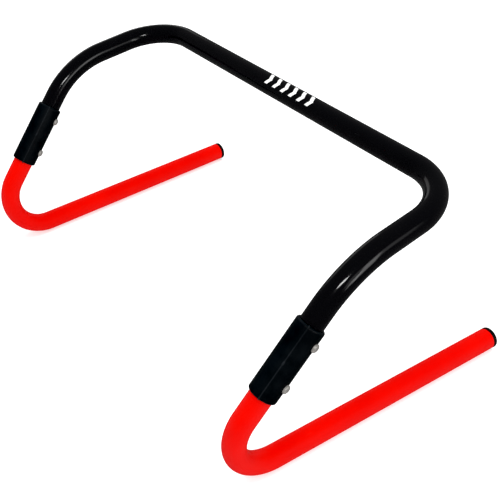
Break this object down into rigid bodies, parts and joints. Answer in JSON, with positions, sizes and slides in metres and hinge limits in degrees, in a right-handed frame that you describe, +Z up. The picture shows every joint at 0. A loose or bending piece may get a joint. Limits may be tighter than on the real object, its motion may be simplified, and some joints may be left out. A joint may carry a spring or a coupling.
{
  "type": "agility hurdle",
  "caption": "Low training hurdle with a bent tube crossbar on J-bent tube legs that swivel in sleeve couplers to change its height.",
  "frame": {"origin": "on the floor, under the middle of the hurdle's box", "axes": "+X along the crossbar, +Y the way the feet point, +Z up"},
  "size_m": [0.4665, 0.294, 0.2059],
  "materials": {
    "bar_tube": "gloss black plastic tube",
    "leg_tube": "satin red plastic tube",
    "coupler_plastic": "matt blue-black moulding",
    "plug_plastic": "matt black moulding",
    "screw_steel": "dull zinc-plated steel"
  },
  "bodies": {
    "bar": {"top_bar": "bar_tube", "coupler_right": "coupler_plastic", "coupler_left": "coupler_plastic", "bar_screw_right": "screw_steel", "bar_screw_left": "screw_steel", "leg_screw_right": "screw_steel", "leg_screw_left": "screw_steel"},
    "right_leg": {"leg_right": "leg_tube", "foot_plug_right": "plug_plastic"},
    "left_leg": {"leg_left": "leg_tube", "foot_plug_left": "plug_plastic"}
  },
  "joints": [
    {"name": "right_leg_swivel", "type": "hinge", "parent": "bar", "child": "right_leg", "pos_m": [0.21622, -0.10209, 0.10398], "axis": [-0.0649, -0.6462, -0.7604], "range_deg": [0, 180]},
    {"name": "left_leg_swivel", "type": "hinge", "parent": "bar", "child": "left_leg", "pos_m": [-0.21622, -0.10209, 0.10398], "axis": [-0.0649, 0.6462, 0.7604], "range_deg": [0, 180]}
  ]
}
